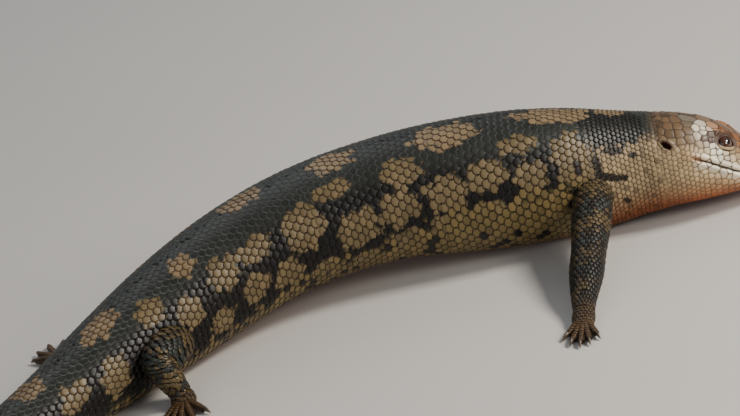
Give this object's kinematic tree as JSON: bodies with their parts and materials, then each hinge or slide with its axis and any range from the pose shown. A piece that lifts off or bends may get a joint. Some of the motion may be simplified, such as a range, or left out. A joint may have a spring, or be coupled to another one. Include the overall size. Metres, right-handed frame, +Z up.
{
  "type": "blotched blue-tongued skink",
  "caption": "Life-size blotched blue-tongued skink lying on its belly, body gently curved, one foreleg stretched out to the side, scaled skin in dark grey with tan blotches.",
  "frame": {"origin": "on the floor, under the middle of the chest", "axes": "+X towards the head, +Z up from the floor, -Y to the animal's right side"},
  "size_m": [0.3989, 0.1902, 0.0525],
  "materials": {
    "head_skin": "satin scales, buff to orange-tan with grey seams",
    "neck_skin": "satin scales, tan with a dark nape",
    "trunk_skin": "satin scales, slate grey with tan blotches in a black network",
    "tail_skin": "satin scales, slate grey with tan blotches",
    "leg_skin": "satin scales, dark olive grey",
    "foot_skin": "satin scales banded olive and brown, dark brown claws",
    "eyes": "wet gloss, brown-red iris with a dark pupil"
  },
  "bodies": {
    "root": {"head": "head_skin", "neck": "neck_skin", "torso_front": "trunk_skin", "torso_middle": "trunk_skin", "torso_rear": "trunk_skin", "tail_base": "tail_skin", "tail_middle": "tail_skin", "tail_tip": "tail_skin", "eye_right": "eyes", "eye_left": "eyes", "upper_arm_right": "leg_skin", "upper_arm_left": "leg_skin", "forearm_right": "leg_skin", "forearm_left": "leg_skin", "hand_right": "foot_skin", "hand_left": "foot_skin", "thigh_right": "leg_skin", "thigh_left": "leg_skin", "shank_right": "leg_skin", "shank_left": "leg_skin", "foot_right": "foot_skin", "foot_left": "foot_skin"}
  },
  "joints": []
}
